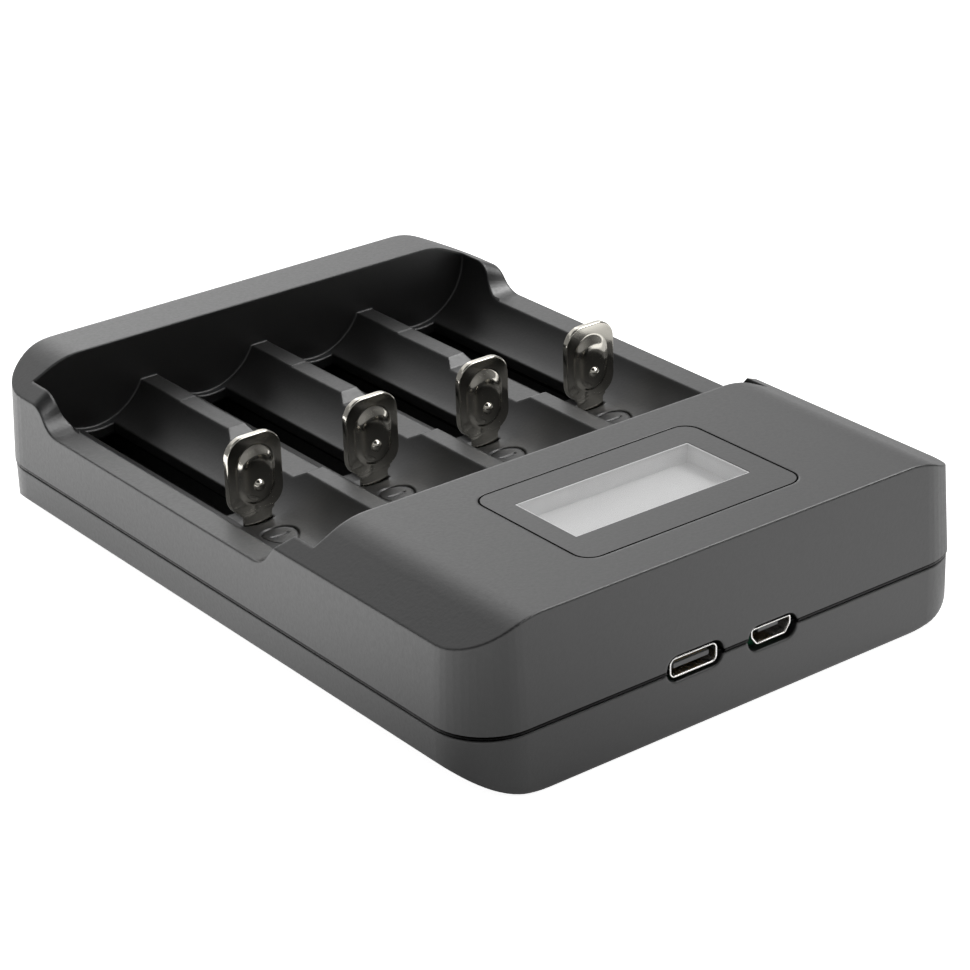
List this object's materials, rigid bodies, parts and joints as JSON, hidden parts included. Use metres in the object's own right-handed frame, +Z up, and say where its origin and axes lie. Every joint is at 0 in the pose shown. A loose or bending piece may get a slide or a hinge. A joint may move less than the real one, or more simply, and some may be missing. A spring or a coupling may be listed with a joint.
{
  "type": "battery charger",
  "caption": "Desktop charger for cylindrical cells, with open bays, sprung sliding contacts, a display panel and USB inlets.",
  "frame": {"origin": "middle of the footprint, on the surface that the feet stand on", "axes": "+X across the bays to the right, +Y from the socket face to the rear, +Z up"},
  "size_m": [0.0952, 0.1324, 0.0288],
  "materials": {
    "housing": "fine matte grain",
    "panel": "fine matte film",
    "window": "clear",
    "display_frame": "satin",
    "lcd": "satin",
    "backlight": "satin",
    "board": "solder mask",
    "chip": "matte",
    "inductor": "matte",
    "capacitor": "satin",
    "nickel": "polished",
    "spring_steel": "drawn",
    "socket_shell": "satin",
    "socket_tongue": "matte",
    "slider_shoe": "smooth",
    "retainer": "matte",
    "foot": "matte",
    "screw": "plated"
  },
  "bodies": {
    "charger": {"upper_housing": "housing", "lower_housing": "housing", "display_bezel": "panel", "display_window": "window", "display_frame": "display_frame", "lcd_glass": "lcd", "display_backlight": "backlight", "display_board": "board", "display_header": "chip", "main_circuit_board": "board", "usb_c_shell": "socket_shell", "usb_c_tongue": "socket_tongue", "micro_usb_shell": "socket_shell", "micro_usb_tongue": "socket_tongue", "controller_chip": "chip", "charge_chip_1": "chip", "charge_chip_2": "chip", "charge_chip_3": "chip", "charge_chip_4": "chip", "power_inductor_1": "inductor", "power_inductor_2": "inductor", "filter_capacitor_1": "capacitor", "filter_capacitor_2": "capacitor", "positive_contact_1": "nickel", "positive_contact_2": "nickel", "positive_contact_3": "nickel", "positive_contact_4": "nickel", "spring_anchor_1": "nickel", "spring_anchor_2": "nickel", "spring_anchor_3": "nickel", "spring_anchor_4": "nickel", "tension_spring_1": "spring_steel", "tension_spring_2": "spring_steel", "tension_spring_3": "spring_steel", "tension_spring_4": "spring_steel", "slider_retainer": "retainer", "rubber_foot_1": "foot", "rubber_foot_2": "foot", "rubber_foot_3": "foot", "rubber_foot_4": "foot", "housing_screws": "screw", "board_screws": "screw", "retainer_screws": "screw", "display_screws": "screw"},
    "slider_1": {"contact_plate_1": "nickel", "slider_carriage_1": "slider_shoe"},
    "slider_2": {"contact_plate_2": "nickel", "slider_carriage_2": "slider_shoe"},
    "slider_3": {"contact_plate_3": "nickel", "slider_carriage_3": "slider_shoe"},
    "slider_4": {"contact_plate_4": "nickel", "slider_carriage_4": "slider_shoe"}
  },
  "joints": [
    {"name": "slider_1_slide", "type": "slide", "parent": "charger", "child": "slider_1", "axis": [0, 1, 0], "range_m": [0, 0.044], "stiffness_N_per_m": 60, "springref_m": -0.004, "deforming": ["tension_spring_1"]},
    {"name": "slider_2_slide", "type": "slide", "parent": "charger", "child": "slider_2", "axis": [0, 1, 0], "range_m": [0, 0.044], "stiffness_N_per_m": 60, "springref_m": -0.004, "deforming": ["tension_spring_2"]},
    {"name": "slider_3_slide", "type": "slide", "parent": "charger", "child": "slider_3", "axis": [0, 1, 0], "range_m": [0, 0.044], "stiffness_N_per_m": 60, "springref_m": -0.004, "deforming": ["tension_spring_3"]},
    {"name": "slider_4_slide", "type": "slide", "parent": "charger", "child": "slider_4", "axis": [0, 1, 0], "range_m": [0, 0.044], "stiffness_N_per_m": 60, "springref_m": -0.004, "deforming": ["tension_spring_4"]}
  ]
}
